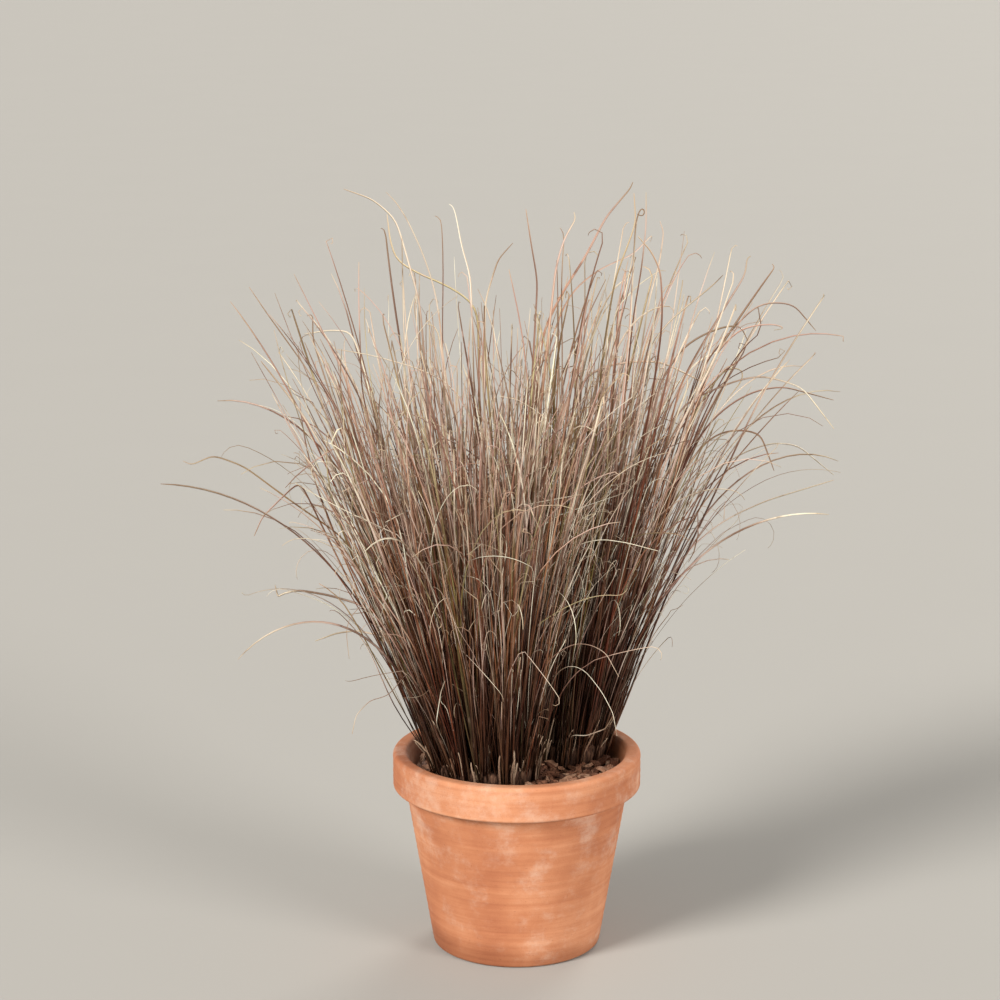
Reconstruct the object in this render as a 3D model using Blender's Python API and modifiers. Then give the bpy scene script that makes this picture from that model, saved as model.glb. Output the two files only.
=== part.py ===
"""A bronze sedge with two crowns of fine upright leaves, growing in a plain clay pot.

Lengths are in metres and +Z is up. The origin is the middle of the pot's foot. X runs to the right as
the plant is seen from the front, and Y runs away to the back. Each crown's leaves stand in bundles
that spread from one point deep below it, the way the real leaves fan out, so no two bundles meet.
"""

import math
import random

import bpy
from mathutils import Vector, noise

GAP = 0.0003  # clearance between pieces that rest against each other

# The pot, a turned clay shape with a thick band below its rim.
POT_HEIGHT = 0.235
RIM_RADIUS = 0.145
BAND_HEIGHT = 0.042
BAND_STEP = 0.007
FOOT_RADIUS = 0.098
WALL = 0.010
FLOOR = 0.012
LIP_ROUND = 0.004
FOOT_ROUND = 0.004
POT_STEPS = 44
SHARP_ANGLE = math.radians(40)
DRAIN_HOLES = 3
DRAIN_RADIUS = 0.007
DRAIN_CIRCLE = 0.050
CUTTER_SIDES = 28

# What fills the pot.
SOIL_TOP = 0.203
MULCH_DEPTH = 0.011
MULCH_LUMP = 0.0035
LUMPS_PER_METRE = 90
MULCH_RINGS = 7
CROWN_ROOM = 0.0015  # from a crown out to the edge of its opening in the mulch
FILL_STEPS = 36

# The plant. Each crown's leaves point away from a spread point deep below it. The two spread points
# are further apart than the crowns' facing edges, so the crowns' leaves close up as they rise.
SPREAD_DEPTH = 0.255
CROWN_HEIGHT = 0.040
PLANT_TOP = 0.890
CROWN_STEPS = 28
CROWN_RINGS = 4
BUNDLE_MARGIN = 0.0125  # from a crown's edge in to the middles of its outermost bundles
BUNDLE_POINTS = 10
LONGEST_REACH = 0.60
BUNDLE_LEAN = 0.16  # how much more than at its foot a bundle leans when it is LONGEST_REACH long
BUNDLE_SWIRL = math.radians(5)
BUNDLE_WIDTHS = ((0.0, 0.0068), (0.40, 0.0112), (0.62, 0.0110), (0.86, 0.0058), (1.0, 0.0012))
LEAF_EDGE = 0.965  # share of a crown's radius where the arching leaves start
LEAF_POINTS = 15
LEAF_WIDTHS = ((0.0, 0.0015), (0.55, 0.0019), (1.0, 0.0008))
GOLDEN_ANGLE = math.pi * (3 - math.sqrt(5))

CROWNS = {
    "front": {
        "centre": (-0.035, -0.030),
        "radius": 0.062,
        "spread_point": Vector((-0.020, -0.015, SOIL_TOP - SPREAD_DEPTH)),
        "bundles": 28,
        "reach": (0.36, 0.57),
    },
    "back": {
        "centre": (0.062, 0.040),
        "radius": 0.042,
        "spread_point": Vector((0.020, 0.015, SOIL_TOP - SPREAD_DEPTH)),
        "bundles": 13,
        "reach": (0.38, 0.58),
    },
}
TALLEST_BUNDLE = ("back", 4)

# Single leaves that arch clear of the bundles: crown, compass angle round that crown (0 is to the
# right, 90 to the back), length, tilt from upright at the tip, and how late the leaf bends over.
ARCHING_LEAVES = {
    "right_arching_leaf_high": ("back", 10, 0.540, 104, 3.6),
    "right_arching_leaf_middle": ("back", -18, 0.480, 118, 3.4),
    "right_arching_leaf_low": ("back", -48, 0.420, 96, 1.9),
    "right_arching_leaf_behind": ("back", 44, 0.565, 104, 3.4),
    "left_arching_leaf_high": ("front", 172, 0.585, 36, 2.4),
    "left_arching_leaf_middle": ("front", 194, 0.505, 84, 1.8),
    "left_arching_leaf_low": ("front", 218, 0.395, 128, 1.8),
    "left_arching_leaf_behind": ("front", 146, 0.525, 100, 3.3),
    "front_arching_leaf_left": ("front", 254, 0.460, 106, 3.0),
    "front_arching_leaf_right": ("front", 292, 0.485, 104, 3.4),
    "back_arching_leaf_left": ("back", 114, 0.470, 104, 2.6),
    "back_arching_leaf_right": ("back", 78, 0.555, 98, 3.3),
}

COLOURS = {
    "clay": ((0.52, 0.25, 0.14), 0.85),
    "soil": ((0.06, 0.04, 0.03), 0.95),
    "bark": ((0.20, 0.09, 0.05), 0.90),
    "crown": ((0.10, 0.055, 0.035), 0.85),
    "leaf": ((0.30, 0.16, 0.10), 0.55),
    "dry_leaf": ((0.62, 0.50, 0.36), 0.60),
}


def clear_scene():
    for obj in list(bpy.data.objects):
        bpy.data.objects.remove(obj, do_unlink=True)


def new_collection(name):
    collection = bpy.data.collections.new(name)
    bpy.context.scene.collection.children.link(collection)
    return collection


def make_materials():
    made = {}
    for name, (colour, roughness) in COLOURS.items():
        material = bpy.data.materials.new(name)
        material.use_nodes = True
        shader = material.node_tree.nodes["Principled BSDF"]
        shader.inputs["Base Color"].default_value = (*colour, 1.0)
        shader.inputs["Roughness"].default_value = roughness
        shader.inputs["Metallic"].default_value = 0.0
        made[name] = material
    return made


def arc(centre, radius, start, end, steps):
    """Points on a circle in the profile plane, from one angle in degrees to another."""
    angles = [math.radians(start + (end - start) * i / steps) for i in range(steps + 1)]
    return [(centre[0] + radius * math.cos(a), centre[1] + radius * math.sin(a)) for a in angles]


def turned(name, profile, steps, collection, material):
    """A solid of revolution round the Z axis. The profile ends on the axis at both ends."""
    outline = bpy.data.meshes.new(name)
    outline.from_pydata([(x, 0, z) for x, z in profile], [(i, i + 1) for i in range(len(profile) - 1)], [])
    obj = bpy.data.objects.new(name, outline)
    collection.objects.link(obj)
    outline.materials.append(material)
    screw = obj.modifiers.new("turn", "SCREW")
    screw.axis = "Z"
    screw.angle = 2 * math.pi
    screw.steps = steps
    screw.render_steps = steps
    screw.use_merge_vertices = True
    screw.merge_threshold = 0.00001
    bpy.context.view_layer.update()
    graph = bpy.context.evaluated_depsgraph_get()
    mesh = bpy.data.meshes.new_from_object(obj.evaluated_get(graph))
    mesh.shade_smooth()
    mesh.set_sharp_from_angle(angle=SHARP_ANGLE)
    obj.modifiers.clear()
    obj.data = mesh
    return obj


def pot_inside(z):
    """Inner radius of the pot at a height above its foot."""
    low = FOOT_RADIUS - WALL
    high = RIM_RADIUS - BAND_STEP - WALL
    return low + (high - low) * (z - FLOOR) / (POT_HEIGHT - FLOOR)


def spread(crown, point):
    """Moves a point sideways by its height, on the line that goes from the spread point through its place
    on the soil."""
    start = crown["spread_point"]
    share = (point.z - start.z) / SPREAD_DEPTH
    return Vector((start.x + (point.x - start.x) * share, start.y + (point.y - start.y) * share, point.z))


def upright_cylinder(name, radius, low, high, place, collection):
    """A hidden cylinder that cuts another piece."""
    bpy.ops.mesh.primitive_cylinder_add(
        vertices=CUTTER_SIDES, radius=radius, depth=high - low, location=(*place, (low + high) / 2)
    )
    obj = bpy.context.active_object
    obj.name = name
    for old in list(obj.users_collection):
        old.objects.unlink(obj)
    collection.objects.link(obj)
    obj.hide_render = True
    obj.display_type = "WIRE"
    return obj


def cut(obj, cutter):
    boolean = obj.modifiers.new(cutter.name, "BOOLEAN")
    boolean.operation = "DIFFERENCE"
    boolean.solver = "EXACT"
    boolean.object = cutter


def make_pot(parts, cutters, materials):
    """A tapered pot of even wall, with a band round its rim that tapers with it."""
    band_foot = POT_HEIGHT - BAND_HEIGHT
    wall_top = pot_inside(band_foot) + WALL
    inner_lip = pot_inside(POT_HEIGHT) + LIP_ROUND
    outer_lip = RIM_RADIUS - LIP_ROUND
    lip_height = POT_HEIGHT - LIP_ROUND
    profile = [(0, FLOOR), (pot_inside(FLOOR), FLOOR)]
    profile += arc((inner_lip, lip_height), LIP_ROUND, 180, 90, 3)
    profile += arc((outer_lip, lip_height), LIP_ROUND, 90, 0, 3)
    profile += arc((wall_top + BAND_STEP - LIP_ROUND, band_foot + LIP_ROUND), LIP_ROUND, 0, -90, 2)
    profile += [(wall_top, band_foot)]
    profile += arc((FOOT_RADIUS - FOOT_ROUND, FOOT_ROUND), FOOT_ROUND, 0, -90, 2)
    profile += [(0, 0)]
    pot = turned("pot", profile, POT_STEPS, parts, materials["clay"])
    for i in range(DRAIN_HOLES):
        angle = math.radians(90) + 2 * math.pi * i / DRAIN_HOLES
        place = (DRAIN_CIRCLE * math.cos(angle), DRAIN_CIRCLE * math.sin(angle))
        cut(pot, upright_cylinder(f"drain_cutter_{i + 1}", DRAIN_RADIUS, -0.01, 2 * FLOOR, place, cutters))
    return pot


def make_soil(parts, materials):
    low = FLOOR + GAP
    clear = 2 * GAP  # the facets of the pot's wall lie a little inside its true circle
    profile = [
        (0, SOIL_TOP),
        (pot_inside(SOIL_TOP) - clear, SOIL_TOP),
        (pot_inside(low) - clear, low),
        (0, low),
    ]
    return turned("soil", profile, FILL_STEPS, parts, materials["soil"])


def make_mulch(parts, cutters, materials):
    """A lumpy layer of bark on the soil, open where the crowns come through it."""
    low = SOIL_TOP + GAP
    high = low + MULCH_DEPTH
    edge = pot_inside(low) - 2 * GAP
    profile = [(edge * i / MULCH_RINGS, high) for i in range(MULCH_RINGS + 1)] + [(edge, low), (0, low)]
    mulch = turned("bark_mulch", profile, FILL_STEPS, parts, materials["bark"])
    for vertex in mulch.data.vertices:
        if vertex.co.z > low + MULCH_DEPTH / 2:
            vertex.co.z += MULCH_LUMP * noise.noise(vertex.co * LUMPS_PER_METRE)
    for name, crown in CROWNS.items():
        radius = crown["radius"] + CROWN_ROOM
        low, high = SOIL_TOP - MULCH_DEPTH, SOIL_TOP + 3 * MULCH_DEPTH
        cutter = upright_cylinder(f"{name}_mulch_cutter", radius, low, high, crown["centre"], cutters)
        middle = cutter.location
        for vertex in cutter.data.vertices:
            vertex.co = spread(crown, vertex.co + middle) - middle
        cut(mulch, cutter)
    return mulch


def dome_radius(crown):
    """Distance from a crown's spread point to its domed top."""
    return (Vector((*crown["centre"], SOIL_TOP)) - crown["spread_point"]).length + CROWN_HEIGHT


def away(crown, x, y):
    """Direction from the crown's spread point through a place on the soil."""
    return (Vector((x, y, SOIL_TOP)) - crown["spread_point"]).normalized()


def make_crown(name, crown, parts, materials):
    """The crowded leaf bases: a round foot on the soil that swells to a dome round the spread point."""
    centre = Vector((*crown["centre"], SOIL_TOP + GAP))
    radius = crown["radius"]
    rings = [(radius * i / CROWN_RINGS, CROWN_HEIGHT) for i in range(CROWN_RINGS + 1)]
    profile = rings + [(radius, 0), (0, 0)]
    obj = turned(f"{name}_crown", profile, CROWN_STEPS, parts, materials["crown"])
    for vertex in obj.data.vertices:
        if vertex.co.z > 0:
            place = vertex.co + centre
            vertex.co = crown["spread_point"] + dome_radius(crown) * away(crown, place.x, place.y) - centre
    obj.location = centre
    return obj


def width_at(widths, share):
    """Half thickness at a share of the length, read off straight lines between the given pairs."""
    for (a, wide_a), (b, wide_b) in zip(widths, widths[1:]):
        if share <= b:
            return wide_a + (wide_b - wide_a) * (share - a) / (b - a)
    return widths[-1][1]


def tapered_tube(name, points, widths, sides, crown, parts, material):
    """A solid along a line of points, as thick at each one as widths says, standing on its crown."""
    curve = bpy.data.curves.new(name, "CURVE")
    curve.dimensions = "3D"
    curve.bevel_depth = 1.0
    curve.bevel_resolution = (sides - 4) // 2
    curve.use_fill_caps = True
    spline = curve.splines.new("POLY")
    spline.points.add(len(points) - 1)
    for i, (knot, point) in enumerate(zip(spline.points, points)):
        knot.co = (*(point - points[0]), 1.0)
        knot.radius = width_at(widths, i / (len(points) - 1))
    curve.materials.append(material)
    obj = bpy.data.objects.new(name, curve)
    parts.objects.link(obj)
    obj.parent = crown
    obj.location = points[0] - crown.location
    return obj


def bundle_line(crown, direction, reach):
    """Points of a bundle: away from the spread point, with more lean and swirl the further it gets.

    Both depend on the distance alone, so bundles of different length keep clear of each other.
    """
    tilt = math.acos(direction.z)
    compass = math.atan2(direction.y, direction.x)
    points = []
    for i in range(BUNDLE_POINTS):
        out = reach * i / (BUNDLE_POINTS - 1)
        bend = (out / LONGEST_REACH) ** 2
        lean = tilt * (1 + BUNDLE_LEAN * bend)
        turn = compass + BUNDLE_SWIRL * bend
        flat = Vector((math.cos(turn), math.sin(turn), 0)) * math.sin(lean)
        way = flat + Vector((0, 0, math.cos(lean)))
        points.append(crown["spread_point"] + (dome_radius(crown) + GAP + out) * way)
    return points


def make_bundles(name, crown, obj, parts, materials, rng):
    """Leaf bundles set out like a sunflower's seeds, each of its own height."""
    count = crown["bundles"]
    for i in range(count):
        out = (crown["radius"] - BUNDLE_MARGIN) * math.sqrt((i + 0.5) / count)
        turn = i * GOLDEN_ANGLE
        place = (crown["centre"][0] + out * math.cos(turn), crown["centre"][1] + out * math.sin(turn))
        direction = away(crown, *place)
        reach = rng.uniform(*crown["reach"])
        if (name, i) == TALLEST_BUNDLE:
            lean = math.acos(direction.z) * (1 + BUNDLE_LEAN)
            reach = (PLANT_TOP - crown["spread_point"].z) / math.cos(lean) - dome_radius(crown)
        line = bundle_line(crown, direction, reach)
        tapered_tube(f"{name}_leaf_bundle_{i + 1:02d}", line, BUNDLE_WIDTHS, 6, obj, parts, materials["leaf"])


def arching_line(crown, compass, length, tip_tilt, late):
    """Points of a single leaf that leaves its crown's edge and bends over outwards.

    Its tilt from upright grows from the dome's own slope to tip_tilt as a power of the share of its
    length, and the points are the sum of short steps along that tilt.
    """
    angle = math.radians(compass)
    out = crown["radius"] * LEAF_EDGE
    place = (crown["centre"][0] + out * math.cos(angle), crown["centre"][1] + out * math.sin(angle))
    direction = away(crown, *place)
    start_tilt = math.acos(direction.z)
    side = Vector((direction.x, direction.y, 0)).normalized()
    points = [crown["spread_point"] + (dome_radius(crown) + GAP) * direction]
    step = length / (LEAF_POINTS - 1)
    for i in range(LEAF_POINTS - 1):
        share = (i + 0.5) / (LEAF_POINTS - 1)
        tilt = start_tilt + (math.radians(tip_tilt) - start_tilt) * share**late
        points.append(points[-1] + step * (side * math.sin(tilt) + Vector((0, 0, math.cos(tilt)))))
    return points


def build():
    clear_scene()
    parts = new_collection("potted_sedge")
    cutters = new_collection("cutters")
    materials = make_materials()
    rng = random.Random(11)
    make_pot(parts, cutters, materials)
    make_soil(parts, materials)
    make_mulch(parts, cutters, materials)
    crowns = {}
    for name, crown in CROWNS.items():
        crowns[name] = make_crown(name, crown, parts, materials)
        make_bundles(name, crown, crowns[name], parts, materials, rng)
    for leaf, (name, compass, length, tip_tilt, late) in ARCHING_LEAVES.items():
        line = arching_line(CROWNS[name], compass, length, tip_tilt, late)
        tapered_tube(leaf, line, LEAF_WIDTHS, 4, crowns[name], parts, materials["dry_leaf"])


build()
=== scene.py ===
# %% [markdown]
# # A bronze sedge in a clay pot
#
# A sedge is a tuft of hair-fine leaves, over two thousand here, that fan out from crowded crowns. This
# plant has two crowns whose leaves mingle, in a plain clay pot with bark on its soil. The solid model
# fixes where everything is, and this lesson dresses it: first come the camera and the light, then the
# pot, the crowns and the leaves, and last the bark.

# %% Load the solid model
import math

import bpy
import numpy as np
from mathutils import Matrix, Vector


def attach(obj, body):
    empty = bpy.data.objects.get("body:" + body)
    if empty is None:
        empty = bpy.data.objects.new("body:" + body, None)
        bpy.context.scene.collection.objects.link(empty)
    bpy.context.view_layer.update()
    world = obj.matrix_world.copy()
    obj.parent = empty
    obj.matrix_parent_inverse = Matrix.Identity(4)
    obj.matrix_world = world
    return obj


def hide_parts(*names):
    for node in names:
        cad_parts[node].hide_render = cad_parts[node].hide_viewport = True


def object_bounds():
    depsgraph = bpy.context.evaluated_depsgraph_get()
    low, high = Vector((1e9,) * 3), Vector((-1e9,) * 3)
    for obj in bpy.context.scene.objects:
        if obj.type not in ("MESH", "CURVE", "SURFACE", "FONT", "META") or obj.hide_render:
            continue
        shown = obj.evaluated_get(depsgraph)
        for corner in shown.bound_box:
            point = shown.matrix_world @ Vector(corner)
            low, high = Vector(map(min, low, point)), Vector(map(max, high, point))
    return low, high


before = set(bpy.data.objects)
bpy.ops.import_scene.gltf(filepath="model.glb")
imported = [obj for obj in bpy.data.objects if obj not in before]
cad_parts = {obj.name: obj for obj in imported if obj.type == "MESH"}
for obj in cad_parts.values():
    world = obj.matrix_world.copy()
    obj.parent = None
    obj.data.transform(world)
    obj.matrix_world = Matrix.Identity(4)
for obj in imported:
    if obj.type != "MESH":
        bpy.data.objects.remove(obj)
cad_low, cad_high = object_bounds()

scene = bpy.context.scene
scene.view_settings.view_transform = "Standard"
print("solid model:", len(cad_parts), "nodes, from", tuple(cad_low), "to", tuple(cad_high))

# %% [markdown]
# A long lens looks slightly down at the plant, from so far away that perspective hardly draws the leaves
# together. Where a leaf has to pass through a place in the picture, that pixel's line of sight is
# followed to a chosen depth, so the same numbers serve the view and the leaves.

# %% Camera
PICTURE = 1000
LENS = 100.0
SENSOR = 36.0
CAMERA_DISTANCE = 3.194
CAMERA_ELEVATION = math.radians(13)
CAMERA_TARGET = np.array((-0.0196, 0.0, 0.5346))
SIGHT = np.array((0.0, math.cos(CAMERA_ELEVATION), -math.sin(CAMERA_ELEVATION)))
TO_RIGHT = np.array((1.0, 0.0, 0.0))
PIXEL_STEPS = np.stack([TO_RIGHT, np.cross(SIGHT, TO_RIGHT)]) * SENSOR / LENS / PICTURE
CAMERA_PLACE = CAMERA_TARGET - CAMERA_DISTANCE * SIGHT


def aim(obj, place, target):
    """Puts a camera or a light at a place and turns it to face a target."""
    obj.location = place
    obj.rotation_mode = "QUATERNION"
    obj.rotation_quaternion = (Vector(target) - Vector(place)).to_track_quat("-Z", "Y")
    scene.collection.objects.link(obj)


def from_photo(pixels, depth):
    """Points with Y at a depth that the camera sees at given pixels.

    The line of sight is straight ahead, plus a step right or down for each pixel from the middle.
    """
    line = SIGHT + (pixels - PICTURE / 2) @ PIXEL_STEPS
    reach = (depth - CAMERA_PLACE[1]) / line[..., 1]
    return CAMERA_PLACE + reach[..., None] * line


camera = bpy.data.objects.new("camera", bpy.data.cameras.new("camera"))
camera.data.lens = LENS
camera.data.sensor_width = SENSOR
aim(camera, CAMERA_PLACE, CAMERA_TARGET)
scene.camera = camera
print("camera at", CAMERA_PLACE.round(3), "sees", round(CAMERA_DISTANCE * SENSOR / LENS, 3), "m across")

# %% [markdown]
# Every finish is a material with one Principled shader whose colour, roughness and bump come from small
# sums of textures. Linking each node by hand hides the sum, so a small class stands for a node's output
# and lets Python's own signs build the nodes: 1 - mask adds a Subtract node.

# %% Finishes as sums
class Wire:
    """One output of a shader node. Signs between wires and numbers add Math nodes."""

    def __init__(self, finish, socket):
        self.finish = finish
        self.socket = socket

    def maths(self, operation, first, second):
        return self.finish.node("ShaderNodeMath", {"operation": operation}, {0: first, 1: second})

    def __add__(self, other):
        return self.maths("ADD", self, other)

    def __mul__(self, other):
        return self.maths("MULTIPLY", self, other)

    def __sub__(self, other):
        return self.maths("SUBTRACT", self, other)

    def __rsub__(self, other):
        return self.maths("SUBTRACT", other, self)

    __radd__ = __add__


class Finish:
    """A material with one Principled shader. What is the same all over goes on its own sockets."""

    def __init__(self, name, constants):
        self.material = bpy.data.materials.new(name)
        self.material.use_nodes = True
        self.tree = self.material.node_tree
        self.shader = self.tree.nodes["Principled BSDF"]
        for socket, value in constants.items():
            self.shader.inputs[socket].default_value = value

    def node(self, kind, settings, inputs, output=0):
        """Adds a node: its settings first, then a number, colour or wire for each socket."""
        made = self.tree.nodes.new(kind)
        for name, value in settings.items():
            setattr(made, name, value)
        for place, value in inputs.items():
            if isinstance(value, Wire):
                self.tree.links.new(value.socket, made.inputs[place])
            else:
                made.inputs[place].default_value = value
        return Wire(self, made.outputs[output])

    def feed(self, socket, wire):
        """Links a wire to the shader."""
        self.tree.links.new(wire.socket, self.shader.inputs[socket])

    def place(self):
        """Places on the piece in metres, which hold still on it in every view."""
        return self.node("ShaderNodeTexCoord", {}, {}, "Object")

    def uv(self, name):
        """Places in one of the piece's own UV maps."""
        return self.node("ShaderNodeUVMap", {"uv_map": name}, {})

    def part_of(self, vector, axis):
        """One of a vector's three numbers."""
        return self.node("ShaderNodeSeparateXYZ", {}, {0: vector}, axis)

    def noise(self, vector, scale, detail=3.0, roughness=0.55):
        """Cloudy noise, about 0.5 on average, with so many lumps to a metre, or so many each way."""
        if isinstance(scale, tuple):
            vector = self.node("ShaderNodeMapping", {}, {"Vector": vector, "Scale": scale})
            scale = 1.0
        sockets = {"Vector": vector, "Scale": scale, "Detail": detail, "Roughness": roughness}
        return self.node("ShaderNodeTexNoise", {}, sockets)

    def rise(self, value, low, high):
        """A mask that goes softly from 0 at low to 1 at high."""
        settings = {"interpolation_type": "SMOOTHSTEP"}
        return self.node("ShaderNodeMapRange", settings, {0: value, 1: low, 2: high})

    def ramp(self, value, stops):
        """A colour read off a ramp, whose stops each have a share from 0 to 1 and a colour."""
        made = self.node("ShaderNodeValToRGB", {}, {0: value})
        elements = made.socket.node.color_ramp.elements
        for _ in stops[2:]:
            elements.new(1.0)
        for element, (share, colour) in zip(elements, stops):
            element.position = share
            element.color = (*colour, 1.0)
        return made

    def blend(self, mask, under, over, how="MIX"):
        """One colour where the mask is 0 and another, or the two multiplied, where it is 1."""
        ends = [c if isinstance(c, Wire) else (*c, 1.0) for c in (under, over)]
        settings = {"data_type": "RGBA", "blend_type": how}
        return self.node("ShaderNodeMix", settings, {0: mask, 6: ends[0], 7: ends[1]}, 2)

    def tint(self, mask, colour, by):
        """A colour multiplied by another where the mask is 1."""
        return self.blend(mask, colour, by, "MULTIPLY")

    def bump(self, height, depth):
        """Raises the surface by a height from 0 to 1 times a depth in metres."""
        self.feed("Normal", self.node("ShaderNodeBump", {}, {"Height": height, "Distance": depth}))


print("finishes can be written as sums")

# %% [markdown]
# New surfaces are worked out as whole arrays of points and written into the mesh in one go. One helper
# does this for every piece, and another says what the piece stands for in the solid model.

# %% From arrays to pieces
TINY = 1e-12


def new_piece(name, points, quads, triangles=np.zeros((0, 3), int)):
    """An object at the origin whose mesh has these points, four-cornered and three-cornered faces."""
    mesh = bpy.data.meshes.new(name)
    mesh.from_pydata(points.tolist(), [], quads.tolist() + triangles.tolist(), shade_flat=False)
    obj = bpy.data.objects.new(name, mesh)
    scene.collection.objects.link(obj)
    return obj


def add_map(obj, name, corners):
    """Gives a piece a UV map from one pair of numbers for each corner of each face."""
    layer = obj.data.uv_layers.new(name=name)
    layer.uv.foreach_set("vector", np.asarray(corners, np.float32).ravel())


def settle(obj, finish, nodes):
    """Finishes a piece: its material, the body it rides on, and the solid nodes that it stands for."""
    obj.data.materials.clear()
    obj.data.materials.append(finish.material)
    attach(obj, "root")
    if nodes:
        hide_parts(*nodes)
    triangles = len(obj.data.loops) - 2 * len(obj.data.polygons)
    print(obj.name, "has", len(obj.data.vertices), "points and", triangles, "triangles")


def lengths(vectors):
    """Lengths along the last axis of an array, kept as an axis of one."""
    return np.linalg.norm(vectors, axis=-1, keepdims=True)


def unit(vectors):
    """The same directions with length 1, where a vector has any length."""
    return vectors / np.maximum(lengths(vectors), TINY)


def headings(angle):
    """Level directions of length 1, at angles from +X towards +Y."""
    return np.stack([np.cos(angle), np.sin(angle)], axis=-1)


print("arrays can be made into pieces")

# %% [markdown]
# The floor is a plain pale sheet, so wide that none of its edges shows. The lights are suns with very wide
# discs, which work like huge softboxes far away: they light the floor evenly and give soft shadows. The
# main one, from the upper left, gives every leaf a bright and a dark side. The others stand low, where
# they fill in on the leaves but hardly light the floor, and an even surround opens the shadows.

# %% Floor and light
FLOOR_REACH = 160.0
PAPER = np.array((0.36, 0.35, 0.335))
PAPER_CLOUDS = 0.98
SURROUND = np.array((1.00, 0.97, 0.92))
SURROUND_STRENGTH = 0.40
PLANT_MIDDLE = np.array((0.0, 0.0, 0.45))
# For each sun, the way to it, its strength, the width of its disc in degrees, and its colour.
SUNS = {
    "main_sun": ((-0.62, -0.58, 0.53), 3.9, 20, (1.0, 0.965, 0.90)),
    "right_sun": ((0.74, -0.62, 0.25), 3.1, 26, (1.0, 0.97, 0.91)),
    "left_sun": ((-0.78, -0.58, 0.22), 1.0, 26, (1.0, 0.97, 0.90)),
    "back_sun": ((0.38, 0.84, 0.38), 1.6, 26, (1.0, 0.97, 0.90)),
}

floor_points = FLOOR_REACH * np.array([(-1, -1, 0), (1, -1, 0), (1, 1, 0), (-1, 1, 0)])
floor = new_piece("floor", floor_points, np.array([[0, 1, 2, 3]]))
paper = Finish("pale_floor", {"Roughness": 0.9, "Specular IOR Level": 0.2})
paper.feed("Base Color", paper.blend(paper.noise(paper.place(), 3.0), PAPER, PAPER_CLOUDS * PAPER))
floor.data.materials.append(paper.material)


def shine(name, way, strength, disc, colour):
    """Adds a sun that faces the plant, and returns the light it gives each part of a level floor.

    That is its strength, in watts a square metre, times the sine of its height above the horizon.
    """
    lamp = bpy.data.objects.new(name, bpy.data.lights.new(name, "SUN"))
    lamp.data.energy = strength
    lamp.data.color = colour
    lamp.data.angle = math.radians(disc)
    way = unit(np.array(way))
    aim(lamp, PLANT_MIDDLE + way, PLANT_MIDDLE)
    return np.array(colour) * strength * way[2]


def light_surround(seen):
    """An even surround that lights the plant, and that the camera sees in the colour of the far floor."""
    scene.world = bpy.data.worlds.new("surround")
    scene.world.use_nodes = True
    tree = scene.world.node_tree
    backdrop = tree.nodes.new("ShaderNodeBackground")
    backdrop.inputs["Color"].default_value = (*seen, 1.0)
    lights = tree.nodes["Background"]
    lights.inputs["Color"].default_value = (*SURROUND, 1.0)
    lights.inputs["Strength"].default_value = SURROUND_STRENGTH
    path = tree.nodes.new("ShaderNodeLightPath")
    either = tree.nodes.new("ShaderNodeMixShader")
    tree.links.new(path.outputs["Is Camera Ray"], either.inputs[0])
    tree.links.new(lights.outputs[0], either.inputs[1])
    tree.links.new(backdrop.outputs[0], either.inputs[2])
    tree.links.new(either.outputs[0], tree.nodes["World Output"].inputs["Surface"])


floor_light = SURROUND * SURROUND_STRENGTH + sum(shine(name, *sun) for name, sun in SUNS.items()) / math.pi
light_surround(PAPER * floor_light)
print("the floor is lit by", floor_light.round(3), "and shows", (PAPER * floor_light).round(3))

# %% [markdown]
# The pot is thrown on a wheel: one wall outline turned round an axis. Blender's Screw modifier could turn
# it too, but a formula can also carry what the hand leaves: faint rings where the fingers drew the clay
# up, and a wall that isn't perfectly round. First comes the outline, a few corners that are then softened.

# %% Outline of the pot
POT_HEIGHT = 0.235
RIM_RADIUS = 0.145
BAND_FOOT = 0.193
BAND_STEP = 0.007
FOOT_RADIUS = 0.098
WALL = 0.010
POT_FLOOR = 0.012
LIP_ROUND = 0.0055
BAND_ROUND = 0.0040
CORNER_ROUND = 0.0020
SOFT_STEPS = 6
OUTLINE_STEP = 0.004


def pot_inside(z):
    """Inner radius of the pot at a height above its foot, the same sloping line as in the solids."""
    low = FOOT_RADIUS - WALL
    high = RIM_RADIUS - BAND_STEP - WALL
    return low + (high - low) * (z - POT_FLOOR) / (POT_HEIGHT - POT_FLOOR)


def softened(corners):
    """An outline through corners, each a radius, a height and a rounding, with its long runs divided.

    A corner c gives way to the curve (1 - t)^2 a + 2 t (1 - t) c + t^2 b, where a and b lie the rounding
    before and after it.
    """
    t = np.linspace(0, 1, SOFT_STEPS + 1)[:, None]
    spots = np.array(corners)[:, :2]
    soft = [spots[:1]]
    for before, corner, after, (_, _, rounding) in zip(spots, spots[1:], spots[2:], corners[1:]):
        a = corner + rounding * unit(before - corner)
        b = corner + rounding * unit(after - corner)
        soft.append((1 - t) ** 2 * a + 2 * t * (1 - t) * corner + t ** 2 * b)
    soft = np.concatenate([*soft, spots[-1:]])
    counts = np.ceil(np.linalg.norm(np.diff(soft, axis=0), axis=1) / OUTLINE_STEP).astype(int)
    runs = [np.linspace(a, b, count, endpoint=False) for a, b, count in zip(soft, soft[1:], counts)]
    return np.concatenate([*runs, soft[-1:]])


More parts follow.
